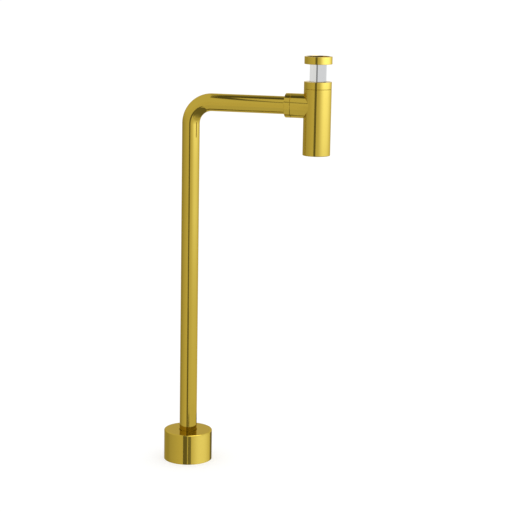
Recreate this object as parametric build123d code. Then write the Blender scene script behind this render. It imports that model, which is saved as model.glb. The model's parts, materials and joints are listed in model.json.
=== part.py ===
from build123d import *
import os

# Bottle trap for a basin, with an outlet pipe that goes down to the floor.
# Millimetres, +Z up. The origin is on the floor, on the axis of the upright pipe.
# The arm runs along +X to the bottle.

# Outlet pipe
PIPE_DIAMETER = 32.0
PIPE_WALL = 1.0
ARM_HEIGHT = 670.0
REACH = 233.0
BEND_RADIUS = 39.5
PIPE_INSERTION = 19.0

# Floor flange
FLANGE_DIAMETER = 89.5
FLANGE_HEIGHT = 56.0
FLANGE_WALL = 1.5
FLANGE_CLEARANCE = 0.8
FLANGE_EDGE_ROUND = 2.0

# Bottle
BOTTLE_DIAMETER = 49.5
BOTTLE_WALL = 1.5
BOTTLE_FLOOR = 2.0
BOTTLE_DROP = 87.0
BOTTLE_RISE = 31.0
BOTTLE_EDGE_ROUND = 1.0
BOTTLE_INNER_ROUND = 2.0
BRANCH_LENGTH = 21.25
BRANCH_WALL = 2.0
COLLAR_DEPTH = 5.0

# Cap nut and outlet nut, with what they press on
CAP_HEIGHT = 13.0
OUTLET_NUT_LENGTH = 11.0
NUT_WALL = 2.15
NUT_PLATE = 2.0
NUT_EDGE_ROUND = 0.5
SLIP_RING_THICKNESS = 1.5
SEAL_PROUD = 1.0
SEAT_DEPTH = 5.0
SEAT_LEDGE = 0.6
SEAT_FLARE = 1.6
SPIGOT_WALL = 1.0

# Inlet tube and inlet nut
INLET_DIAMETER = 30.0
INLET_WALL = 1.0
INLET_SHOWN = 31.0
WATER_SEAL = 50.0
INLET_NUT_DIAMETER = 49.7
INLET_NUT_HEIGHT = 13.4
INLET_THREAD_DIAMETER = 38.95
INLET_THREAD_CHAMFER = 0.6
INLET_THREAD_RELIEF = 0.6
INLET_COLLAR_THICKNESS = 1.2
WASHER_THICKNESS = 2.0

# Clearances
SEAM_GAP = 0.3
SEAM_CHAMFER = 0.3
GUIDE_CLEARANCE = 0.4
THREAD_CLEARANCE = 0.1
SEAL_FIT = 0.05
SEAT_CLEARANCE = 0.2
WASHER_CLEARANCE = 0.3
RELIEF_CLEARANCE = 0.2
CUT_OVERRUN = 1.0

# Sizes worked out from those above
PIPE_R = PIPE_DIAMETER / 2
INLET_R = INLET_DIAMETER / 2
BOTTLE_R = BOTTLE_DIAMETER / 2
INLET_NUT_R = INLET_NUT_DIAMETER / 2
INLET_THREAD_R = INLET_THREAD_DIAMETER / 2
OUTLET_SPIGOT_R = PIPE_R + GUIDE_CLEARANCE + SEAT_LEDGE + SEAT_FLARE + SPIGOT_WALL
BRANCH_R = OUTLET_SPIGOT_R + THREAD_CLEARANCE + NUT_WALL
CAP_SPIGOT_R = BOTTLE_R - NUT_WALL - THREAD_CLEARANCE

# Heights on the bottle axis
BOTTLE_BOTTOM = ARM_HEIGHT - BOTTLE_DROP
BOTTLE_SHOULDER = ARM_HEIGHT + BOTTLE_RISE
CAP_TOP = BOTTLE_SHOULDER + CAP_HEIGHT
INLET_NUT_BOTTOM = CAP_TOP + INLET_SHOWN
INLET_COLLAR_BOTTOM = INLET_NUT_BOTTOM + NUT_PLATE
INLET_TUBE_TOP = INLET_COLLAR_BOTTOM + INLET_COLLAR_THICKNESS
WASHER_TOP = INLET_TUBE_TOP + WASHER_THICKNESS
DIP_END = ARM_HEIGHT - (PIPE_R - PIPE_WALL) - WATER_SEAL

# Distances from the bottle axis, along the arm
BRANCH_END = BOTTLE_R + BRANCH_LENGTH
PIPE_INNER_END = BRANCH_END - PIPE_INSERTION

ON_BOTTLE = Pos(REACH, 0, 0)
ON_ARM = Pos(REACH, 0, ARM_HEIGHT) * Rot(0, -90, 0)


def turned(*corners):
    """Turn an outline about Z. Each corner is (radius, height) or (radius, height, corner round)."""
    points = [corner[:2] for corner in corners]
    rounds = [corner[2] if len(corner) > 2 else 0 for corner in corners]
    outline = make_face(FilletPolyline(*points, radius=rounds, close=True))
    return revolve(Plane.XZ * outline, Axis.Z)


def spigot_length(nut_length):
    """Length of the threaded spigot under a nut, which leaves room for seal, slip ring and plate."""
    return nut_length - NUT_PLATE - SLIP_RING_THICKNESS - SEAL_PROUD


def spigot_blank(radius, spigot_radius, start, shoulder, nut_length):
    """Turned outside of a stub that ends in a shoulder and a narrower threaded spigot."""
    end = shoulder + spigot_length(nut_length)
    return turned(
        (0, start),
        (radius, start),
        (radius, shoulder - SEAM_CHAMFER),
        (radius - SEAM_CHAMFER, shoulder),
        (spigot_radius, shoulder),
        (spigot_radius, end - SEAM_CHAMFER),
        (spigot_radius - SEAM_CHAMFER, end),
        (0, end),
    )


def spigot_hole(bore_radius, tube_radius, start, shoulder, nut_length, inner_round=0):
    """Inside of such a stub: wide bore, guide hole for the tube, and the cone seat at the mouth."""
    guide = tube_radius + GUIDE_CLEARANCE
    end = shoulder + spigot_length(nut_length)
    ledge = guide + SEAT_LEDGE
    mouth = ledge + SEAT_FLARE
    return turned(
        (0, start),
        (bore_radius, start, inner_round),
        (bore_radius, shoulder - COLLAR_DEPTH),
        (guide, shoulder - COLLAR_DEPTH),
        (guide, end - SEAT_DEPTH),
        (ledge, end - SEAT_DEPTH),
        (mouth, end),
        (mouth, end + CUT_OVERRUN),
        (0, end + CUT_OVERRUN),
    )


def compression_nut(radius, spigot_radius, tube_radius, shoulder, nut_length):
    """Ring nut that screws on a spigot, with an end plate that has a hole for the tube."""
    bore = spigot_radius + THREAD_CLEARANCE
    hole = tube_radius + GUIDE_CLEARANCE
    start = shoulder + SEAM_GAP
    end = shoulder + nut_length
    return turned(
        (bore, start),
        (radius - SEAM_CHAMFER, start),
        (radius, start + SEAM_CHAMFER),
        (radius, end, NUT_EDGE_ROUND),
        (hole, end),
        (hole, end - NUT_PLATE),
        (bore, end - NUT_PLATE),
    )


def slip_ring(spigot_radius, tube_radius, shoulder, nut_length):
    """Flat ring under a nut's end plate, which keeps the turning nut from twisting the seal."""
    inner = tube_radius + GUIDE_CLEARANCE
    outer = spigot_radius - SEAT_CLEARANCE
    top = shoulder + nut_length - NUT_PLATE
    bottom = top - SLIP_RING_THICKNESS
    return turned((inner, bottom), (outer, bottom), (outer, top), (inner, top))


def cone_seal(tube_radius, shoulder, nut_length):
    """Cone ring on the tube, which the nut presses into the seat of the spigot."""
    inner = tube_radius + SEAL_FIT
    nose = tube_radius + GUIDE_CLEARANCE + SEAT_LEDGE - SEAT_CLEARANCE
    mouth = shoulder + spigot_length(nut_length)
    bottom = mouth - SEAT_DEPTH + SEAT_CLEARANCE
    return turned(
        (inner, bottom),
        (nose, bottom),
        (nose + SEAT_FLARE, mouth),
        (nose + SEAT_FLARE, mouth + SEAL_PROUD),
        (inner, mouth + SEAL_PROUD),
    )


def bottle_body():
    """Cylinder with a closed bottom and a side branch, both with a threaded spigot."""
    cylinder = spigot_blank(BOTTLE_R, CAP_SPIGOT_R, BOTTLE_BOTTOM, BOTTLE_SHOULDER, CAP_HEIGHT)
    bottom_edge = cylinder.edges().group_by(Axis.Z)[0]
    cylinder = fillet(bottom_edge, BOTTLE_EDGE_ROUND)
    branch = spigot_blank(BRANCH_R, OUTLET_SPIGOT_R, 0, BRANCH_END, OUTLET_NUT_LENGTH)
    cavity = spigot_hole(
        BOTTLE_R - BOTTLE_WALL,
        INLET_R,
        BOTTLE_BOTTOM + BOTTLE_FLOOR,
        BOTTLE_SHOULDER,
        CAP_HEIGHT,
        BOTTLE_INNER_ROUND,
    )
    branch_bore = spigot_hole(BRANCH_R - BRANCH_WALL, PIPE_R, 0, BRANCH_END, OUTLET_NUT_LENGTH)
    outside = ON_BOTTLE * cylinder + ON_ARM * branch
    return outside - ON_BOTTLE * cavity - ON_ARM * branch_bore


def cap_nut():
    """Ring nut on the bottle's neck."""
    return ON_BOTTLE * compression_nut(BOTTLE_R, CAP_SPIGOT_R, INLET_R, BOTTLE_SHOULDER, CAP_HEIGHT)


def cap_slip_ring():
    """Slip ring under the cap nut."""
    return ON_BOTTLE * slip_ring(CAP_SPIGOT_R, INLET_R, BOTTLE_SHOULDER, CAP_HEIGHT)


def cap_seal():
    """Cone seal that grips the inlet tube."""
    return ON_BOTTLE * cone_seal(INLET_R, BOTTLE_SHOULDER, CAP_HEIGHT)


def outlet_nut():
    """Ring nut at the end of the branch."""
    return ON_ARM * compression_nut(BRANCH_R, OUTLET_SPIGOT_R, PIPE_R, BRANCH_END, OUTLET_NUT_LENGTH)


def outlet_slip_ring():
    """Slip ring inside the outlet nut."""
    return ON_ARM * slip_ring(OUTLET_SPIGOT_R, PIPE_R, BRANCH_END, OUTLET_NUT_LENGTH)


def outlet_seal():
    """Cone seal that grips the outlet pipe."""
    return ON_ARM * cone_seal(PIPE_R, BRANCH_END, OUTLET_NUT_LENGTH)


def inlet_tube():
    """Tube with a collar at the top, which hangs in the inlet nut, and an open dip end below."""
    bore = INLET_R - INLET_WALL
    collar = INLET_THREAD_R - WASHER_CLEARANCE
    return ON_BOTTLE * turned(
        (bore, DIP_END),
        (INLET_R, DIP_END),
        (INLET_R, INLET_COLLAR_BOTTOM),
        (collar, INLET_COLLAR_BOTTOM),
        (collar, INLET_TUBE_TOP),
        (bore, INLET_TUBE_TOP),
    )


def inlet_washer():
    """Flat washer on the collar of the inlet tube."""
    outer = INLET_THREAD_R - WASHER_CLEARANCE
    return ON_BOTTLE * turned(
        (INLET_R, INLET_TUBE_TOP),
        (outer, INLET_TUBE_TOP),
        (outer, WASHER_TOP),
        (INLET_R, WASHER_TOP),
    )


def inlet_nut():
    """Union nut under the basin, with a plate under the tube's collar and a relief below the thread."""
    top = INLET_NUT_BOTTOM + INLET_NUT_HEIGHT
    hole = INLET_R + GUIDE_CLEARANCE
    relief = INLET_THREAD_R + INLET_THREAD_RELIEF
    relief_top = WASHER_TOP + RELIEF_CLEARANCE
    return ON_BOTTLE * turned(
        (hole, INLET_NUT_BOTTOM),
        (INLET_NUT_R, INLET_NUT_BOTTOM, NUT_EDGE_ROUND),
        (INLET_NUT_R, top, NUT_EDGE_ROUND),
        (INLET_THREAD_R + INLET_THREAD_CHAMFER, top),
        (INLET_THREAD_R, top - INLET_THREAD_CHAMFER),
        (INLET_THREAD_R, relief_top),
        (relief, relief_top),
        (relief, INLET_COLLAR_BOTTOM),
        (hole, INLET_COLLAR_BOTTOM),
    )


def outlet_pipe():
    """One tube with one bend, from the floor up and along the arm into the branch."""
    corner = (0, 0, ARM_HEIGHT)
    inner_end = (REACH - PIPE_INNER_END, 0, ARM_HEIGHT)
    route = FilletPolyline((0, 0, 0), corner, inner_end, radius=BEND_RADIUS)
    outside = sweep(Circle(PIPE_R), path=route)
    inside = sweep(Circle(PIPE_R - PIPE_WALL), path=route)
    return outside - inside


def floor_flange():
    """Deep pressed cup, open below, with a hole for the pipe in its top."""
    outer = FLANGE_DIAMETER / 2
    inner = outer - FLANGE_WALL
    hole = PIPE_R + FLANGE_CLEARANCE
    ceiling = FLANGE_HEIGHT - FLANGE_WALL
    return turned(
        (inner, 0),
        (outer, 0),
        (outer, FLANGE_HEIGHT, FLANGE_EDGE_ROUND),
        (hole, FLANGE_HEIGHT),
        (hole, ceiling),
        (inner, ceiling),
    )


PIECES = (
    outlet_pipe,
    floor_flange,
    bottle_body,
    outlet_nut,
    outlet_slip_ring,
    outlet_seal,
    cap_nut,
    cap_slip_ring,
    cap_seal,
    inlet_tube,
    inlet_washer,
    inlet_nut,
)

os.makedirs("parts", exist_ok=True)
for piece in PIECES:
    export_step(piece(), f"parts/{piece.__name__}.step")
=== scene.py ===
"""Finishes, fine threads and studio for a gold bottle trap with a floor outlet."""
import json
import math
from collections import namedtuple

import bpy
from mathutils import Matrix, Vector


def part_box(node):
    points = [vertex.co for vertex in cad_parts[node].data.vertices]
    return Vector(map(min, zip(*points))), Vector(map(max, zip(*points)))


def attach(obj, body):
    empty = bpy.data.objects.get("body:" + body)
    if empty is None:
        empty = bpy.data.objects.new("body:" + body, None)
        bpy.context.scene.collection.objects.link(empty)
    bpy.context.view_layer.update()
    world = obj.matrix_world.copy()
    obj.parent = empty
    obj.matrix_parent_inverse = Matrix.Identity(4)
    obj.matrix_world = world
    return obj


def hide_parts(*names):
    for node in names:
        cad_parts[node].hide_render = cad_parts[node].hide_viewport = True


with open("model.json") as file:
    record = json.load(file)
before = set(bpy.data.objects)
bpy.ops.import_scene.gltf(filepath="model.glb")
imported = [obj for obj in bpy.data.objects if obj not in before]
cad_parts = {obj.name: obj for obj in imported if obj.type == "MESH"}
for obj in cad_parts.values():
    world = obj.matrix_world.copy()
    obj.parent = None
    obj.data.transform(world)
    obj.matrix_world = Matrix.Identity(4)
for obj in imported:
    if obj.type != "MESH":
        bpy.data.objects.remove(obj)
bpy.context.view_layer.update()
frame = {"record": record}

bl_info = {
    "name": "Bottle trap",
    "version": (1, 0, 0),
    "blender": (4, 5, 0),
    "location": "View3D > Sidebar > Trap",
    "description": "Models the dressed pieces of a bottle trap around its packed frame",
    "category": "Object",
}

MM = 0.001
MOUNTS = {mount["name"]: mount for mount in frame["record"]["mounts"]}

# How finely round shapes are divided, and how they are shaded and merged
TURN_STEPS = 192
PIPE_STEPS = 128
BEND_STEPS = 48
ROUND_STEPS = 5
THREAD_STEPS = 96
SMOOTH_ANGLE = math.radians(32)
WELD = 0.001 * MM

# Short lengths at the ends of a straight run of pipe, which keep the shading of the run true
PIPE_LEAD = 2.0 * MM
# How far a cutter runs past the end that it opens
CUT_OVER = 1.0 * MM

# Thread ridges: half a ridge's foot and the rise to the first inlet ridge, as shares of the pitch,
# how deep a ridge is let into the metal, and how many turns each thread has
THREAD_FOOT = 0.42
INLET_THREAD_RISE = 0.4
THREAD_SUNK = 0.1 * MM
CAP_THREAD_TURNS = 2
BRANCH_THREAD_TURNS = 1
INLET_THREAD_TURNS = 2


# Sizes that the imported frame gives

def node_radius(node):
    """Half the width of a node along X, for a piece turned about an upright axis."""
    low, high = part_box(node)
    return (high[0] - low[0]) / 2


def node_axis_x(node):
    """X of a node's upright axis."""
    low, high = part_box(node)
    return (high[0] + low[0]) / 2


PIPE_RADIUS = MOUNTS["floor_outlet"]["dims"]["r_mm"] * MM
PIPE_STRAIGHT = MOUNTS["floor_outlet"]["dims"]["length_mm"] * MM
INLET_THREAD_RADIUS = MOUNTS["inlet_thread"]["dims"]["r_mm"] * MM
ARM_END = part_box("outlet_pipe")[1][0]
ARM_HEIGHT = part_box("outlet_pipe")[1][2] - PIPE_RADIUS
REACH = node_axis_x("cap_nut")


def linear(hex_colour):
    """Linear RGBA of an sRGB hex colour."""
    levels = [int(hex_colour[i:i + 2], 16) / 255 for i in (1, 3, 5)]
    return tuple(v / 12.92 if v <= 0.04045 else ((v + 0.055) / 1.055) ** 2.4 for v in levels) + (1.0,)


def length(name, millimetres, description):
    """A length property whose default is given in millimetres."""
    return bpy.props.FloatProperty(
        name=name,
        description=description,
        default=millimetres * MM,
        min=0.0,
        precision=5,
        subtype="DISTANCE",
        unit="LENGTH",
    )


def colour(name, hex_colour, description):
    """A colour property whose default is given as sRGB hex."""
    return bpy.props.FloatVectorProperty(
        name=name,
        description=description,
        default=linear(hex_colour),
        size=4,
        min=0.0,
        max=1.0,
        subtype="COLOR",
    )


class TrapSizes(bpy.types.PropertyGroup):
    """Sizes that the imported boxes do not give."""

    pipe_wall: length("Pipe wall", 1.0, "Wall of the outlet pipe")
    inlet_wall: length("Inlet wall", 1.0, "Wall of the inlet tube")
    inlet_rim: length("Inlet rim", 0.2, "Round of the inlet tube's edges")
    flange_wall: length("Flange wall", 1.5, "Wall of the floor flange")
    flange_gap: length("Flange gap", 0.8, "Gap between the pipe and the hole in the flange")
    flange_round: length("Flange edge", 2.0, "Round of the flange's top edge")
    flange_rim: length("Flange rim", 0.25, "Round of the flange's foot and of its hole")
    bottle_wall: length("Bottle wall", 1.5, "Wall of the bottle")
    bottle_floor: length("Bottle floor", 2.0, "Thickness of the bottle's closed bottom")
    bottle_round: length("Bottle edge", 1.0, "Round of the bottle's bottom edge")
    bottle_inner_round: length("Bottle inner edge", 2.0, "Round inside the bottle's bottom edge")
    branch_wall: length("Branch wall", 2.0, "Wall of the side branch")
    collar_depth: length("Collar depth", 5.0, "Depth of the guide collar under a shoulder")
    nut_wall: length("Nut wall", 2.15, "Wall of the ring nuts")
    nut_plate: length("Nut plate", 2.0, "Thickness of a nut's end plate")
    nut_round: length("Nut edge", 0.5, "Round of a nut's outer edges")
    slip_ring: length("Slip ring", 1.5, "Thickness of a slip ring")
    seal_proud: length("Seal proud", 1.0, "Height of a seal above its seat")
    seat_depth: length("Seat depth", 5.0, "Depth of a cone seat")
    seat_ledge: length("Seat ledge", 0.6, "Ledge at the bottom of a cone seat")
    seat_flare: length("Seat flare", 1.6, "How far a cone seat widens")
    seam_chamfer: length("Seam chamfer", 0.3, "Chamfer on both sides of a seam line")
    guide_gap: length("Guide gap", 0.4, "Gap between a tube and the hole that guides it")
    thread_gap: length("Thread gap", 0.1, "Gap between a spigot and its nut")
    seat_gap: length("Seat gap", 0.2, "Gap between a seal and its seat")
    seal_fit: length("Seal fit", 0.05, "Gap between a seal and its tube")
    thread_pitch: length("Thread pitch", 2.309, "Pitch of the pipe thread, 11 to the inch")
    thread_depth: length("Thread depth", 0.55, "Depth of the threads on the spigots")
    thread_rise: length("Thread rise", 1.2, "Height of a spigot's first ridge above its shoulder")
    inlet_thread_depth: length("Inlet thread depth", 1.2, "Depth of the thread in the inlet nut")
    inlet_relief: length("Thread relief", 0.2, "Plain length between the washer and the inlet thread")
    inlet_mouth: length("Inlet mouth", 0.6, "Chamfer at the mouth of the inlet nut")
    soft_round: length("Soft edge", 0.25, "Round on moulded edges of rubber and nylon")
    contact_gap: length("Contact gap", 0.02, "Hair gap between faces that rest on each other")


class TrapFinish(bpy.types.PropertyGroup):
    """Colours of the finishes and the stage."""

    gold: colour("Gold", "#B9A03D", "Polished gold plating")
    gold_deep: colour("Deep gold", "#B69C3A", "Slightly thicker plating")
    gold_edge: colour("Gold edge", "#EADFC0", "Tint of the plating seen edge on")
    chrome: colour("Chrome", "#CFD0D1", "Polished chrome plating")
    rubber: colour("Rubber", "#1E1D1C", "Black nitrile rubber")
    nylon: colour("Nylon", "#E4DFD2", "Natural nylon")
    floor: colour("Floor", "#BCBCBC", "Pale floor")


def sizes():
    """The scene's trap sizes."""
    return bpy.context.scene.trap_sizes


def finish():
    """The scene's trap colours."""
    return bpy.context.scene.trap_finish


# Materials

def add_node(tree, kind, inputs=None, **settings):
    """Add a node, set its attributes, and set or link its inputs."""
    node = tree.nodes.new(kind)
    for name, value in settings.items():
        setattr(node, name, value)
    for name, value in (inputs or {}).items():
        if isinstance(value, bpy.types.NodeSocket):
            tree.links.new(value, node.inputs[name])
        else:
            node.inputs[name].default_value = value
    return node


def new_material(name):
    """An empty node material and its node tree."""
    material = bpy.data.materials.new(name)
    material.use_nodes = True
    material.node_tree.nodes.clear()
    return material, material.node_tree


def close_material(tree, shader):
    """Link a shader to a new material output."""
    add_node(tree, "ShaderNodeOutputMaterial", {"Surface": shader})


def polished_gold():
    """Brass, buffed and gold plated: a mirror with a trace of buffing haze."""
    material, tree = new_material("polished_gold_finish")
    place = add_node(tree, "ShaderNodeTexCoord").outputs["Object"]
    # Plating thickness drifts over about 60 mm, which shifts the yellow a little
    drift = add_node(
        tree,
        "ShaderNodeTexNoise",
        {"Vector": place, "Scale": 1 / (60 * MM), "Detail": 1.0},
    )
    tint = add_node(
        tree,
        "ShaderNodeMix",
        {"Factor": drift.outputs["Fac"], 6: finish().gold, 7: finish().gold_deep},
        data_type="RGBA",
    )
    # Buffing haze: soft patches about 8 mm wide
    haze = add_node(
        tree,
        "ShaderNodeTexNoise",
        {"Vector": place, "Scale": 1 / (8 * MM), "Detail": 3.0},
    )
    rough = add_node(
        tree,
        "ShaderNodeMapRange",
        {
            "Value": haze.outputs["Fac"],
            "From Min": 0.3,
            "From Max": 0.7,
            "To Min": 0.045,
            "To Max": 0.075,
        },
    )
    shader = add_node(
        tree,
        "ShaderNodeBsdfPrincipled",
        {
            "Base Color": tint.outputs[2],
            "Metallic": 1.0,
            "Roughness": rough.outputs["Result"],
            "Specular Tint": finish().gold_edge,
        },
    )
    close_material(tree, shader.outputs["BSDF"])
    return material


def polished_chrome():
    """Chrome plating on brass: a neutral mirror."""
    material, tree = new_material("polished_chrome_finish")
    place = add_node(tree, "ShaderNodeTexCoord").outputs["Object"]
    # Buffing haze: soft patches about 6 mm wide
    haze = add_node(
        tree,
        "ShaderNodeTexNoise",
        {"Vector": place, "Scale": 1 / (6 * MM), "Detail": 3.0},
    )
    rough = add_node(
        tree,
        "ShaderNodeMapRange",
        {
            "Value": haze.outputs["Fac"],
            "From Min": 0.3,
            "From Max": 0.7,
            "To Min": 0.04,
            "To Max": 0.07,
        },
    )
    shader = add_node(
        tree,
        "ShaderNodeBsdfPrincipled",
        {"Base Color": finish().chrome, "Metallic": 1.0, "Roughness": rough.outputs["Result"]},
    )
    close_material(tree, shader.outputs["BSDF"])
    return material


def black_rubber():
    """Moulded nitrile rubber: near black, matt, with a fine mould grain."""
    material, tree = new_material("black_rubber_finish")
    place = add_node(tree, "ShaderNodeTexCoord").outputs["Object"]
    # Mould grain, drawn at 0.4 mm so that it shows
    grain = add_node(
        tree,
        "ShaderNodeTexNoise",
        {"Vector": place, "Scale": 1 / (0.4 * MM), "Detail": 2.0},
    )
    bump = add_node(
        tree,
        "ShaderNodeBump",
        {"Height": grain.outputs["Fac"], "Strength": 0.25, "Distance": 0.05 * MM},
    )
    rough = add_node(
        tree,
        "ShaderNodeMapRange",
        {"Value": grain.outputs["Fac"], "To Min": 0.55, "To Max": 0.75},
    )
    shader = add_node(
        tree,
        "ShaderNodeBsdfPrincipled",
        {
            "Base Color": finish().rubber,
            "Roughness": rough.outputs["Result"],
            "Normal": bump.outputs["Normal"],
        },
    )
    close_material(tree, shader.outputs["BSDF"])
    return material


def white_nylon():
    """Moulded natural nylon: off-white, waxy, with a faint flow pattern."""
    material, tree = new_material("white_nylon_finish")
    place = add_node(tree, "ShaderNodeTexCoord").outputs["Object"]
    # Flow marks of the mould, about 3 mm wide
    flow = add_node(
        tree,
        "ShaderNodeTexNoise",
        {"Vector": place, "Scale": 1 / (3 * MM), "Detail": 2.0},
    )
    rough = add_node(
        tree,
        "ShaderNodeMapRange",
        {"Value": flow.outputs["Fac"], "To Min": 0.35, "To Max": 0.5},
    )
    shader = add_node(
        tree,
        "ShaderNodeBsdfPrincipled",
        {"Base Color": finish().nylon, "Roughness": rough.outputs["Result"], "IOR": 1.53},
    )
    close_material(tree, shader.outputs["BSDF"])
    return material


MAKERS = {
    "polished_gold": polished_gold,
    "polished_chrome": polished_chrome,
    "black_rubber": black_rubber,
    "white_nylon": white_nylon,
}


def material_for(slot):
    """The finish of a record slot, made once.

    The frame's own plain material keeps the slot's bare name.
    """
    return bpy.data.materials.get(f"{slot}_finish") or MAKERS[slot]()


# Modelling

def rounded(corners):
    """Points of a closed outline of (radius, height[, round]) corners, with each round as an arc."""
    points = []
    for i, corner in enumerate(corners):
        here = Vector(corner[:2])
        size = corner[2] if len(corner) > 2 else 0
        if not size:
            points.append(here)
            continue
        before = (Vector(corners[i - 1][:2]) - here).normalized()
        after = (Vector(corners[(i + 1) % len(corners)][:2]) - here).normalized()
        half = before.angle(after) / 2
        centre = here + (before + after).normalized() * size / math.sin(half)
        start = here + before * size / math.tan(half) - centre
        end = here + after * size / math.tan(half) - centre
        for step in range(ROUND_STEPS + 1):
            points.append(centre + start.slerp(end, step / ROUND_STEPS) * size)
    return points


def deselect_all():
    """Leave nothing selected, so that an operator acts only on the new piece."""
    bpy.ops.object.select_all(action="DESELECT")


def only(piece):
    """Select one piece and make it active."""
    deselect_all()
    piece.select_set(True)
    bpy.context.view_layer.objects.active = piece


def turned(name, corners):
    """Turn a closed outline about Z, ring by ring. An outline that touches the axis is capped flat."""
    outline = rounded(corners)
    rings = [point for point in outline if point.x > 0]
    deselect_all()
    bpy.ops.mesh.primitive_circle_add(vertices=TURN_STEPS, radius=rings[0].x, enter_editmode=True)
    piece = bpy.context.object
    piece.name = name
    bpy.ops.transform.translate(value=(0, 0, rings[0].y))
    for last, ring in zip(rings, rings[1:]):
        bpy.ops.mesh.extrude_region_move(TRANSFORM_OT_translate={"value": (0, 0, ring.y - last.y)})
        grow = ring.x / last.x
        bpy.ops.transform.resize(value=(grow, grow, 1), center_override=(0, 0, 0))
    bpy.ops.mesh.select_all(action="DESELECT")
    bpy.ops.mesh.select_non_manifold()
    if len(rings) < len(outline):
        bpy.ops.mesh.fill_holes(sides=0)
    else:
        bpy.ops.mesh.bridge_edge_loops()
    bpy.ops.mesh.select_all(action="SELECT")
    bpy.ops.mesh.normals_make_consistent(inside=False)
    bpy.ops.object.mode_set(mode="OBJECT")
    return piece


def apply_modifier(piece, kind, **settings):
    """Add a modifier with its settings and apply it."""
    only(piece)
    modifier = piece.modifiers.new(kind.lower(), kind)
    for key, value in settings.items():
        setattr(modifier, key, value)
    bpy.ops.object.modifier_apply(modifier=modifier.name)


def put(piece, matrix):
    """Move a piece and set the move into its mesh."""
    only(piece)
    piece.matrix_world = matrix
    bpy.ops.object.transform_apply(location=True, rotation=True, scale=True)


def on_bottle(piece):
    """Put a piece turned about Z on the bottle's axis."""
    put(piece, Matrix.Translation((REACH, 0, 0)))


def on_arm(piece):
    """Lay a piece turned about Z on the arm, with its height as distance from the bottle's axis."""
    put(piece, Matrix.Translation((REACH, 0, ARM_HEIGHT)) @ Matrix.Rotation(-math.pi / 2, 4, "Y"))


def smooth(piece):
    """Smooth shading in which the large faces keep their true direction up to each edge."""
    only(piece)
    bpy.ops.object.shade_smooth_by_angle(angle=SMOOTH_ANGLE)
    apply_modifier(piece, "WEIGHTED_NORMAL", mode="FACE_AREA", weight=100, keep_sharp=True)


def dress(piece, node, body, slot):
    """Finish a piece that stands for a node: shading, material, body and slot."""
    smooth(piece)
    piece.data.materials.clear()
    piece.data.materials.append(material_for(slot))
    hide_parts(node)
    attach(piece, body)


def combine(piece, other, operation):
    """Add or cut another piece, which is used up."""
    apply_modifier(piece, "BOOLEAN", operation=operation, object=other, solver="EXACT")
    bpy.data.objects.remove(other)


def join(piece, *others):
    """Join other pieces into one."""
    only(piece)
    for other in others:
        other.select_set(True)
    bpy.ops.object.join()


def thread(name, core, depth, start, turns):
    """A ridge of triangular section wound up an axis. A negative depth points inwards."""
    pitch = sizes().thread_pitch
    foot = THREAD_FOOT * pitch
    sunk = math.copysign(THREAD_SUNK, depth)
    deselect_all()
    bpy.ops.mesh.primitive_circle_add(vertices=3)
    ridge = bpy.context.object
    ridge.name = name
    section = ((core - sunk, start - foot), (core + depth, start), (core - sunk, start + foot))
    for vertex, (radius, height) in zip(ridge.data.vertices, section):
        vertex.co = (radius, 0, height)
    apply_modifier(
        ridge,
        "SCREW",
        axis="Z",
        screw_offset=pitch,
        iterations=turns,
        steps=THREAD_STEPS,
        render_steps=THREAD_STEPS,
        use_smooth_shade=False,
    )
    bpy.ops.object.mode_set(mode="EDIT")
    bpy.ops.mesh.select_all(action="SELECT")
    bpy.ops.mesh.remove_doubles(threshold=WELD)
    bpy.ops.mesh.fill_holes(sides=0)
    bpy.ops.mesh.normals_make_consistent(inside=False)
    bpy.ops.object.mode_set(mode="OBJECT")
    return ridge


# Where the ring nuts sit, which the frame says

# Outer radius of a ring nut, outer radius of the tube in it, and both ends of the nut along its axis
Seat = namedtuple("Seat", "radius tube start end")


def inlet_radius():
    """Outer radius of the inlet tube."""
    low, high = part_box("cap_seal")
    size = sizes()
    grown = size.guide_gap + size.seat_ledge - size.seat_gap + size.seat_flare
    return (high[0] - low[0]) / 2 - grown


def cap_seat():
    """Seat of the cap nut, with its ends as heights."""
    low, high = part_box("cap_nut")
    return Seat(node_radius("cap_nut"), inlet_radius(), low[2], high[2])


def branch_seat():
    """Seat of the outlet nut, with its ends as distances from the bottle's axis."""
    low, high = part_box("outlet_nut")
    return Seat((high[2] - low[2]) / 2, PIPE_RADIUS, REACH - high[0], REACH - low[0])


def spigot(seat):
    """Radius over the thread, shoulder and end of the spigot that a ring nut screws on."""
    size = sizes()
    crest = seat.radius - size.nut_wall - size.thread_gap
    shoulder = seat.start - size.seam_chamfer
    end = seat.end - size.nut_plate - size.slip_ring - size.seal_proud
    return crest, shoulder, end


# Outlines that the cap and the branch share

def spigot_blank(name, seat, start, edge_round=0):
    """Outside of a stub that ends in a shoulder and a narrower spigot, down to the thread's root."""
    size = sizes()
    crest, shoulder, end = spigot(seat)
    root = crest - size.thread_depth
    chamfer = size.seam_chamfer
    return turned(
        name,
        (
            (0, start),
            (seat.radius, start, edge_round),
            (seat.radius, shoulder - chamfer),
            (seat.radius - chamfer, shoulder),
            (root, shoulder),
            (root, end - chamfer),
            (root - chamfer, end),
            (0, end),
        ),
    )


def spigot_hole(name, seat, wall, start, foot_round=0):
    """Inside of such a stub, as a solid to cut away."""
    size = sizes()
    _, shoulder, end = spigot(seat)
    bore = seat.radius - wall
    guide = seat.tube + size.guide_gap
    ledge = guide + size.seat_ledge
    mouth = ledge + size.seat_flare
    return turned(
        name,
        (
            (0, start),
            (bore, start, foot_round),
            (bore, shoulder - size.collar_depth),
            (guide, shoulder - size.collar_depth),
            (guide, end - size.seat_depth),
            (ledge, end - size.seat_depth),
            (mouth, end),
            (mouth, end + CUT_OVER),
            (0, end + CUT_OVER),
        ),
    )


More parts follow.
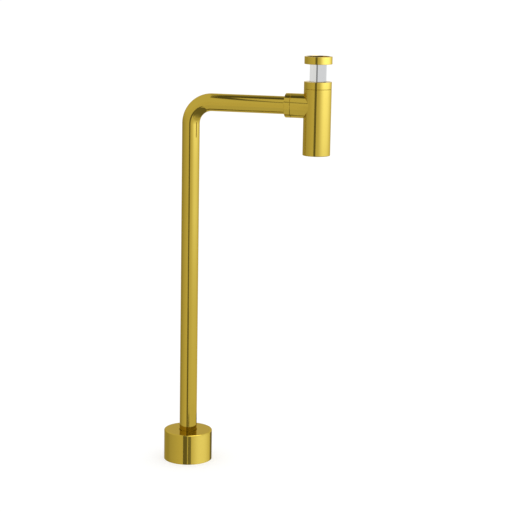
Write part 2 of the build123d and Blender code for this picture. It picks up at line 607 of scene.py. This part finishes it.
def spigot_thread(name, seat, turns):
    """Thread of such a stub's spigot."""
    size = sizes()
    crest, shoulder, _ = spigot(seat)
    root = crest - size.thread_depth
    return thread(name, root, size.thread_depth, shoulder + size.thread_rise, turns)


def ring_nut(name, seat):
    """Ring nut with an end plate and a plain bore."""
    size = sizes()
    bore = seat.radius - size.nut_wall
    hole = seat.tube + size.guide_gap
    chamfer = size.seam_chamfer
    return turned(
        name,
        (
            (bore, seat.start),
            (seat.radius - chamfer, seat.start),
            (seat.radius, seat.start + chamfer),
            (seat.radius, seat.end, size.nut_round),
            (hole, seat.end, chamfer / 2),
            (hole, seat.end - size.nut_plate),
            (bore, seat.end - size.nut_plate),
        ),
    )


def cone_ring(name, seat):
    """Moulded cone seal, in the mouth of a spigot."""
    size = sizes()
    _, _, mouth = spigot(seat)
    inner = seat.tube + size.seal_fit
    nose = seat.tube + size.guide_gap + size.seat_ledge - size.seat_gap
    wide = nose + size.seat_flare
    bottom = mouth - size.seat_depth + size.seat_gap
    top = mouth + size.seal_proud
    soft = size.soft_round
    return turned(
        name,
        (
            (inner, bottom),
            (nose, bottom, soft),
            (wide, mouth),
            (wide, top, soft),
            (inner, top),
        ),
    )


def flat_ring(name, inner, outer, bottom, top):
    """Moulded flat ring with soft edges."""
    soft = sizes().soft_round
    return turned(
        name,
        ((inner, bottom, soft), (outer, bottom, soft), (outer, top, soft), (inner, top, soft)),
    )


# Pieces

class TRAP_OT_outlet_pipe(bpy.types.Operator):
    """Model the bent outlet pipe"""

    bl_idname = "trap.outlet_pipe"
    bl_label = "Outlet pipe"

    def execute(self, context):
        bend = ARM_HEIGHT - PIPE_STRAIGHT
        deselect_all()
        bpy.ops.mesh.primitive_circle_add(vertices=PIPE_STEPS, radius=PIPE_RADIUS, enter_editmode=True)
        piece = bpy.context.object
        piece.name = "bent_pipe"
        for rise in (PIPE_LEAD, PIPE_STRAIGHT - 2 * PIPE_LEAD, PIPE_LEAD):
            bpy.ops.mesh.extrude_region_move(TRANSFORM_OT_translate={"value": (0, 0, rise)})
        bpy.ops.mesh.spin(
            steps=BEND_STEPS,
            angle=-math.pi / 2,
            center=(bend, 0, PIPE_STRAIGHT),
            axis=(0, 1, 0),
        )
        for run in (PIPE_LEAD, ARM_END - bend - 2 * PIPE_LEAD, PIPE_LEAD):
            bpy.ops.mesh.extrude_region_move(TRANSFORM_OT_translate={"value": (run, 0, 0)})
        bpy.ops.mesh.select_all(action="SELECT")
        bpy.ops.mesh.remove_doubles(threshold=WELD)
        bpy.ops.mesh.normals_make_consistent(inside=False)
        bpy.ops.object.mode_set(mode="OBJECT")
        apply_modifier(piece, "SOLIDIFY", thickness=sizes().pipe_wall, offset=-1.0)
        dress(piece, "outlet_pipe", "outlet_pipe", "polished_gold")
        return {"FINISHED"}


class TRAP_OT_floor_flange(bpy.types.Operator):
    """Model the deep floor flange"""

    bl_idname = "trap.floor_flange"
    bl_label = "Floor flange"

    def execute(self, context):
        size = sizes()
        outer = node_radius("floor_flange")
        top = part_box("floor_flange")[1][2]
        inner = outer - size.flange_wall
        hole = PIPE_RADIUS + size.flange_gap
        under = top - size.flange_wall
        rim = size.flange_rim
        piece = turned(
            "flange_cup",
            (
                (inner, 0, rim),
                (outer, 0, rim),
                (outer, top, size.flange_round),
                (hole, top, rim),
                (hole, under, rim),
                (inner, under, size.flange_round - size.flange_wall),
            ),
        )
        dress(piece, "floor_flange", "floor_flange", "polished_gold")
        return {"FINISHED"}


class TRAP_OT_bottle(bpy.types.Operator):
    """Model the bottle with its branch and the threads on both spigots"""

    bl_idname = "trap.bottle"
    bl_label = "Bottle"

    def execute(self, context):
        size = sizes()
        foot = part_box("bottle_body")[0][2]
        cap, side = cap_seat(), branch_seat()
        piece = spigot_blank("bottle", cap, foot, size.bottle_round)
        on_bottle(piece)
        branch = spigot_blank("branch", side, 0)
        on_arm(branch)
        combine(piece, branch, "UNION")
        inside = foot + size.bottle_floor
        cavity = spigot_hole("cavity", cap, size.bottle_wall, inside, size.bottle_inner_round)
        on_bottle(cavity)
        combine(piece, cavity, "DIFFERENCE")
        bore = spigot_hole("bore", side, size.branch_wall, 0)
        on_arm(bore)
        combine(piece, bore, "DIFFERENCE")
        cap_thread = spigot_thread("cap_thread", cap, CAP_THREAD_TURNS)
        on_bottle(cap_thread)
        branch_thread = spigot_thread("branch_thread", side, BRANCH_THREAD_TURNS)
        on_arm(branch_thread)
        join(piece, cap_thread, branch_thread)
        dress(piece, "bottle_body", "bottle", "polished_gold")
        return {"FINISHED"}


class TRAP_OT_ring_nuts(bpy.types.Operator):
    """Model the cap nut and the outlet nut"""

    bl_idname = "trap.ring_nuts"
    bl_label = "Ring nuts"

    def execute(self, context):
        cap = ring_nut("cap_ring", cap_seat())
        on_bottle(cap)
        dress(cap, "cap_nut", "cap_nut", "polished_gold")
        outlet = ring_nut("outlet_ring", branch_seat())
        on_arm(outlet)
        dress(outlet, "outlet_nut", "outlet_nut", "polished_gold")
        return {"FINISHED"}


class TRAP_OT_inlet(bpy.types.Operator):
    """Model the inlet tube, its washer and the threaded inlet nut"""

    bl_idname = "trap.inlet"
    bl_label = "Inlet"

    def execute(self, context):
        self.tube()
        self.washer()
        self.nut()
        return {"FINISHED"}

    def tube(self):
        """Chrome tube with a collar at its top, which hangs in the nut."""
        size = sizes()
        low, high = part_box("inlet_tube")
        under_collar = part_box("inlet_nut")[0][2] + size.nut_plate + size.contact_gap
        outer = inlet_radius()
        bore = outer - size.inlet_wall
        collar = node_radius("inlet_tube")
        rim = size.inlet_rim
        piece = turned(
            "dip_tube",
            (
                (bore, low[2], rim),
                (outer, low[2], rim),
                (outer, under_collar),
                (collar, under_collar, rim),
                (collar, high[2], rim),
                (bore, high[2], rim),
            ),
        )
        on_bottle(piece)
        dress(piece, "inlet_tube", "inlet_tube", "polished_chrome")

    def washer(self):
        """Rubber washer on the collar."""
        low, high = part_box("inlet_washer")
        bottom = low[2] + sizes().contact_gap
        piece = flat_ring("seat_washer", inlet_radius(), node_radius("inlet_washer"), bottom, high[2])
        on_bottle(piece)
        dress(piece, "inlet_washer", "inlet_washer", "black_rubber")

    def nut(self):
        """Union nut with a thread above the washer."""
        size = sizes()
        low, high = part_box("inlet_nut")
        outer = node_radius("inlet_nut")
        hole = inlet_radius() + size.guide_gap
        root = INLET_THREAD_RADIUS + size.inlet_thread_depth
        floor = low[2] + size.nut_plate
        piece = turned(
            "union_nut",
            (
                (hole, low[2], size.seam_chamfer / 2),
                (outer, low[2], size.nut_round),
                (outer, high[2], size.nut_round),
                (root + size.inlet_mouth, high[2]),
                (root, high[2] - size.inlet_mouth),
                (root, floor),
                (hole, floor),
            ),
        )
        washer_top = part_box("inlet_washer")[1][2]
        first = washer_top + size.inlet_relief + INLET_THREAD_RISE * size.thread_pitch
        ridge = thread("union_thread", root, -size.inlet_thread_depth, first, INLET_THREAD_TURNS)
        join(piece, ridge)
        on_bottle(piece)
        dress(piece, "inlet_nut", "inlet_nut", "polished_gold")


class TRAP_OT_seals(bpy.types.Operator):
    """Model the cone seals and slip rings inside both ring nuts"""

    bl_idname = "trap.seals"
    bl_label = "Seals and slip rings"

    def execute(self, context):
        for name, seat, place in (("cap", cap_seat(), on_bottle), ("outlet", branch_seat(), on_arm)):
            self.stack(name, seat, place)
        return {"FINISHED"}

    def stack(self, name, seat, place):
        """Slip ring under a nut's end plate, and the seal under the slip ring."""
        size = sizes()
        top = seat.end - size.nut_plate - size.contact_gap
        bottom = seat.end - size.nut_plate - size.slip_ring + size.contact_gap
        inner = seat.tube + size.guide_gap
        outer = seat.radius - size.nut_wall - size.thread_gap - size.seat_gap
        ring = flat_ring(f"{name}_nylon_ring", inner, outer, bottom, top)
        place(ring)
        dress(ring, f"{name}_slip_ring", f"{name}_slip_ring", "white_nylon")
        seal = cone_ring(f"{name}_cone", seat)
        place(seal)
        dress(seal, f"{name}_seal", f"{name}_seal", "black_rubber")


# Stage

CAMERA_PLACE = (0.835745, -2.809058, 0.941444)
CAMERA_TURN = math.radians(14.188)
CAMERA_DOWN = math.radians(10.704)
CAMERA_ROLL = math.radians(0.982)
CAMERA_LENS = 114.03
CAMERA_SENSOR = 36.0
CAMERA_SIGHT = 200

FLOOR_RADIUS = 60
FLOOR_STEPS = 96
# White added to the floor where the camera looks at it
FLOOR_LIFT = 0.55

# Cards stand on a ring about the stage's centre, from a foot below the floor to a top above the trap
STAGE_CENTRE = Vector((0.1, 0.0, 0.0))
CARD_DISTANCE = 2.4
CARD_FOOT = -0.92
CARD_TOP = 2.7
CARD_STEPS = 24
RING_STEPS = 64
# Space between cards that would else lie in one place
CARD_SPACING = 0.1
GROUND_STRIP_LIFT = 0.01
FAR_DISTANCE = 9.0
OVERHEAD_STRIP_HEIGHT = 1.54

WHITE = "#FFFFFF"
COOL_LIGHT = "#ADBCFF"
WARM_SHADE = "#FFFDF8"

# Stops of (place, level) that several cards share
FULL_HEIGHT = ((CARD_FOOT, 1), (CARD_TOP, 1))
FLANGE_ZONE = ((CARD_FOOT, 1), (-0.62, 1))
FULL_DEPTH = ((-CARD_DISTANCE, 1), (CARD_DISTANCE, 1))
RIM_ACROSS = ((0.2, 0), (0.6, 1.8), (2.0, 1.8), (2.4, 0))
RIM_ALONG = ((-2.0, 0), (-1.5, 1), (0.6, 1), (1.1, 0))
SOFTBOX_SWEEP = (
    (4, 0), (17, 0.15), (26, 0.38), (34, 0.6), (43, 0.81), (52, 0.95), (62, 1.0),
    (82, 0.95), (94, 0.85), (106, 0.66), (121, 0.38), (145, 0),
)


def glow(name, tint, across, upward, kind):
    """Emission that varies across and up a card, by (place on the card, level) stops.

    A plain card shows its levels, a shade takes them off white, and a lamp adds them to what is
    behind it.
    """
    material, tree = new_material(name)
    corner = add_node(tree, "ShaderNodeTexCoord").outputs["UV"]
    place = add_node(tree, "ShaderNodeSeparateXYZ", {"Vector": corner})
    level = 1.0
    for axis, stops in (("X", across), ("Y", upward)):
        peak = max(value for _, value in stops)
        ramp = add_node(tree, "ShaderNodeValToRGB", {"Fac": place.outputs[axis]})
        elements = ramp.color_ramp.elements
        while len(elements) < len(stops):
            elements.new(0.5)
        for element, (position, value) in zip(elements, stops):
            element.position = position
            element.color = (value / peak, value / peak, value / peak, 1)
        scaled = add_node(
            tree,
            "ShaderNodeMath",
            {0: ramp.outputs["Color"], 1: peak},
            operation="MULTIPLY",
        )
        product = add_node(
            tree,
            "ShaderNodeMath",
            {0: scaled.outputs[0], 1: level},
            operation="MULTIPLY",
        )
        level = product.outputs[0]
    if kind == "SHADE":
        level = add_node(tree, "ShaderNodeMath", {0: 1.0, 1: level}, operation="SUBTRACT").outputs[0]
    shader = add_node(tree, "ShaderNodeEmission", {"Color": linear(tint), "Strength": level}).outputs[0]
    if kind == "LAMP":
        clear = add_node(tree, "ShaderNodeBsdfTransparent")
        shader = add_node(tree, "ShaderNodeAddShader", {0: clear.outputs[0], 1: shader}).outputs[0]
    close_material(tree, shader)
    return material


def mirror_only(card):
    """Let a card show in reflections alone."""
    card.visible_camera = False
    card.visible_diffuse = False
    card.visible_shadow = False


def on_card(stops):
    """First and last place of the stops, and the stops with places as parts of the way between."""
    first, last = stops[0][0], stops[-1][0]
    return first, last, [((place - first) / (last - first), level) for place, level in stops]


def upright_card(name, across, upward, tint=WHITE, kind="PLAIN", distance=CARD_DISTANCE):
    """Curved upright card.

    across holds stops in degrees to the right of the camera, seen from the trap, and upward in metres.
    """
    start, stop, across = on_card(across)
    bottom, top, upward = on_card(upward)
    deselect_all()
    bpy.ops.mesh.primitive_grid_add(x_subdivisions=CARD_STEPS, y_subdivisions=1, size=1)
    card = bpy.context.object
    card.name = name
    for vertex in card.data.vertices:
        turn = CAMERA_TURN - math.pi / 2 + math.radians(start + (stop - start) * (vertex.co.x + 0.5))
        rise = bottom + (top - bottom) * (vertex.co.y + 0.5)
        vertex.co = STAGE_CENTRE + Vector((distance * math.cos(turn), distance * math.sin(turn), rise))
    card.data.materials.append(glow(name, tint, across, upward, kind))
    mirror_only(card)
    return card


def level_card(name, across, along, height, kind="PLAIN"):
    """Flat level card with stops along X and Y in metres, cut off where the upright cards stand."""
    left, right, across = on_card(across)
    front, back, along = on_card(along)
    deselect_all()
    bpy.ops.mesh.primitive_circle_add(vertices=RING_STEPS, radius=CARD_DISTANCE, fill_type="NGON")
    card = bpy.context.object
    card.name = name
    for vertex in card.data.vertices:
        place = vertex.co + STAGE_CENTRE
        vertex.co = (min(max(place.x, left), right), min(max(place.y, front), back), height)
    for loop, corner in zip(card.data.loops, card.data.uv_layers.active.uv):
        place = card.data.vertices[loop.vertex_index].co
        corner.vector = ((place.x - left) / (right - left), (place.y - front) / (back - front))
    card.data.materials.append(glow(name, WHITE, across, along, kind))
    mirror_only(card)
    return card


def aim(card, piece, state):
    """Keep a card's light off one piece, or let it reach that piece alone."""
    aimed = bpy.data.collections.new(f"{card.name}_aimed")
    aimed.objects.link(bpy.data.objects[piece])
    aimed.collection_objects[0].light_linking.link_state = state
    card.light_linking.receiver_collection = aimed


class TRAP_OT_stage(bpy.types.Operator):
    """Set the camera, the pale floor, the white surroundings and the reflector cards"""

    bl_idname = "trap.stage"
    bl_label = "Stage"

    def execute(self, context):
        self.camera(context.scene)
        self.surroundings(context.scene)
        self.floor()
        self.softboxes()
        self.dark_strips()
        self.left_shade()
        self.ceiling()
        self.ground()
        return {"FINISHED"}

    def camera(self, scene):
        """Camera at the photograph's viewing angle."""
        data = bpy.data.cameras.new("camera")
        data.sensor_fit = "HORIZONTAL"
        data.sensor_width = CAMERA_SENSOR
        data.lens = CAMERA_LENS
        data.clip_end = CAMERA_SIGHT
        camera = bpy.data.objects.new("camera", data)
        scene.collection.objects.link(camera)
        camera.location = CAMERA_PLACE
        turn = Matrix.Rotation(CAMERA_TURN, 3, "Z")
        tilt = Matrix.Rotation(math.pi / 2 - CAMERA_DOWN, 3, "X")
        roll = Matrix.Rotation(CAMERA_ROLL, 3, "Z")
        camera.rotation_euler = (turn @ tilt @ roll).to_euler()
        scene.camera = camera

    def surroundings(self, scene):
        """White room all round, with colours shown as they are written."""
        world = bpy.data.worlds.new("white_room")
        world.use_nodes = True
        tree = world.node_tree
        tree.nodes.clear()
        light = add_node(tree, "ShaderNodeBackground", {"Color": (1, 1, 1, 1), "Strength": 1.0})
        add_node(tree, "ShaderNodeOutputWorld", {"Surface": light.outputs["Background"]})
        scene.world = world
        scene.view_settings.view_transform = "Standard"

    def floor(self):
        """Matt pale floor, white to the camera so that only a light shadow stays on it."""
        deselect_all()
        bpy.ops.mesh.primitive_circle_add(vertices=FLOOR_STEPS, radius=FLOOR_RADIUS, fill_type="NGON")
        floor = bpy.context.object
        floor.name = "floor"
        material, tree = new_material("pale_floor")
        camera_ray = add_node(tree, "ShaderNodeLightPath").outputs["Is Camera Ray"]
        lift = add_node(tree, "ShaderNodeMath", {0: camera_ray, 1: FLOOR_LIFT}, operation="MULTIPLY")
        shader = add_node(
            tree,
            "ShaderNodeBsdfPrincipled",
            {
                "Base Color": finish().floor,
                "Roughness": 1.0,
                "Specular IOR Level": 0.0,
                "Emission Color": (1, 1, 1, 1),
                "Emission Strength": lift.outputs[0],
            },
        )
        close_material(tree, shader.outputs["BSDF"])
        floor.data.materials.append(material)
        floor.visible_glossy = False

    def softboxes(self):
        """Light on the right, and a fill on the left for the chrome."""
        # Lights the right side of nuts, bottle and pipe, and gets stronger with height
        softbox_right = upright_card(
            "softbox_right",
            SOFTBOX_SWEEP,
            (
                (-0.61, 0), (-0.6, 0.13), (-0.41, 0.28), (-0.25, 0.42), (-0.09, 0.76), (0.07, 1.22),
                (0.23, 1.4), (0.31, 1.8), (0.36, 2.2), (0.5, 2.65), (0.53, 3.3), (0.6, 4.0),
                (0.66, 4.0), (0.7, 0), (0.95, 0), (1.0, 1.3), (CARD_TOP, 1.3),
            ),
            tint=COOL_LIGHT,
            kind="LAMP",
        )
        aim(softbox_right, "dip_tube", "EXCLUDE")
        # Lights the right side of the flange, which is brighter than the foot of the pipe
        softbox_low = upright_card(
            "softbox_low",
            SOFTBOX_SWEEP,
            ((CARD_FOOT, 1.48), (-0.68, 1.48), (-0.61, 0)),
            tint=COOL_LIGHT,
            kind="LAMP",
        )
        aim(softbox_low, "bent_pipe", "EXCLUDE")
        # Lifts the left side of the chrome tube
        fill_left = upright_card(
            "fill_left",
            ((-155, 0.4), (-100, 0.42), (-80, 0.27), (-57, 0.17), (-28, 0.1)),
            FULL_HEIGHT,
            kind="LAMP",
            distance=CARD_DISTANCE - CARD_SPACING,
        )
        aim(fill_left, "dip_tube", "INCLUDE")

    def dark_strips(self):
        """Dark strips that draw the lines down the upright pieces."""
        # The dark line down every upright piece, and its paler edge on the lower pipe and the flange
        upright_card("dark_strip_left", ((-23.5, 0.25), (-6, 0.25)), FULL_HEIGHT)
        upright_card("dark_strip_foot", ((-6.2, 0.35), (-3, 0.35)), ((CARD_FOOT, 1), (-0.25, 1)))
        # The flange's second line and its dark right edge
        upright_card("dark_strip_low", ((0.5, 0.3), (15, 0.3)), FLANGE_ZONE)
        upright_card("dark_edge_low", ((135, 0.3), (175, 0.3)), FLANGE_ZONE)
        # Gap in the softbox, which the pipe's mirror image in the flange's top shows
        upright_card("dark_band_right", ((-4, 0.55), (125, 0.55)), ((0.7, 1), (0.95, 1)))
        # Far ground, low on the inside of the bend
        upright_card(
            "far_floor",
            ((-8, 0.3), (2, 0.3), (10, 0.5), (20, 0.82), (130, 0.82)),
            ((-6.0, 1), (-3.0, 1)),
            distance=FAR_DISTANCE,
        )

    def left_shade(self):
        """Shade on the left, which dims the left side of every upright piece."""
        upright_card(
            "shade_left",
            (
                (-190, 0), (-155, 0.38), (-140, 0.38), (-108, 0.4), (-91, 0.25), (-80, 0.2), (-57, 0.1),
                (-40, 0.03), (-25, 0.03),
            ),
            ((CARD_FOOT, 1), (0.45, 1), (1.2, 0)),
            tint=WARM_SHADE,
            kind="SHADE",
        )

    def ceiling(self):
        """Cards overhead, which the level arm and the top edges show."""
        # The dark wedge along the top of the arm and the branch, and the softer tone above it
        level_card(
            "dark_ceiling",
            ((-0.55, 1), (-0.52, 0.15), (0.1, 0.15)),
            ((-0.42, 1), (0.72, 1)),
            CARD_TOP,
        )
        level_card("dim_ceiling", ((-0.66, 0.48), (0.1, 0.48)), ((0.72, 1), (2.4, 1)), CARD_TOP)
        # Light on the top edges of the nuts and the flange, and more of it on the flange alone
        level_card("rim_light", RIM_ACROSS, RIM_ALONG, CARD_TOP, kind="LAMP")
        flange_light = level_card(
            "flange_light",
            RIM_ACROSS,
            RIM_ALONG,
            CARD_TOP + CARD_SPACING,
            kind="LAMP",
        )
        aim(flange_light, "flange_cup", "INCLUDE")
        # The thin line along the arm and the branch
        level_card(
            "overhead_strip",
            ((-0.24, 0), (-0.21, 0.85), (-0.165, 0.85), (-0.14, 0)),
            ((-2.4, 0.8), (-1.0, 0.8), (-0.6, 1), (-0.15, 1)),
            OVERHEAD_STRIP_HEIGHT,
            kind="SHADE",
        )

    def ground(self):
        """Cards below, which the undersides show."""
        # The dark patch on the inside of the bend, and a trace of grey on the other side
        level_card(
            "dark_below",
            ((0, 0.25), (1.0, 0.27), (1.3, 0.36), (1.7, 0.5), (2.35, 0.8), (2.5, 0.8)),
            FULL_DEPTH,
            CARD_FOOT,
        )
        level_card("dim_below", ((-2.5, 0.88), (0, 0.88)), FULL_DEPTH, CARD_FOOT)
        # The dark line under the arm and the branch
        level_card(
            "strip_below",
            ((-2.5, 0.1), (0, 0.1)),
            ((0.2, 1), (0.45, 1)),
            CARD_FOOT + GROUND_STRIP_LIFT,
        )


class TRAP_PT_panel(bpy.types.Panel):
    """Pieces, sizes and colours of the trap"""

    bl_idname = "TRAP_PT_panel"
    bl_label = "Bottle trap"
    bl_space_type = "VIEW_3D"
    bl_region_type = "UI"
    bl_category = "Trap"

    def draw(self, context):
        for operator in OPERATORS:
            self.layout.operator(operator.bl_idname)
        for group in (context.scene.trap_sizes, context.scene.trap_finish):
            box = self.layout.box()
            for key in group.__annotations__:
                box.prop(group, key)


OPERATORS = (
    TRAP_OT_outlet_pipe,
    TRAP_OT_floor_flange,
    TRAP_OT_bottle,
    TRAP_OT_ring_nuts,
    TRAP_OT_inlet,
    TRAP_OT_seals,
    TRAP_OT_stage,
)
CLASSES = (TrapSizes, TrapFinish, *OPERATORS, TRAP_PT_panel)


def register():
    """Register the classes and give the scene its sizes and colours."""
    for cls in CLASSES:
        bpy.utils.register_class(cls)
    bpy.types.Scene.trap_sizes = bpy.props.PointerProperty(type=TrapSizes)
    bpy.types.Scene.trap_finish = bpy.props.PointerProperty(type=TrapFinish)


def unregister():
    """Undo register."""
    del bpy.types.Scene.trap_finish
    del bpy.types.Scene.trap_sizes
    for cls in reversed(CLASSES):
        bpy.utils.unregister_class(cls)


def main():
    """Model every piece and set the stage."""
    register()
    bpy.ops.trap.outlet_pipe()
    bpy.ops.trap.floor_flange()
    bpy.ops.trap.bottle()
    bpy.ops.trap.ring_nuts()
    bpy.ops.trap.inlet()
    bpy.ops.trap.seals()
    bpy.ops.trap.stage()


if __name__ == "__main__":
    main()
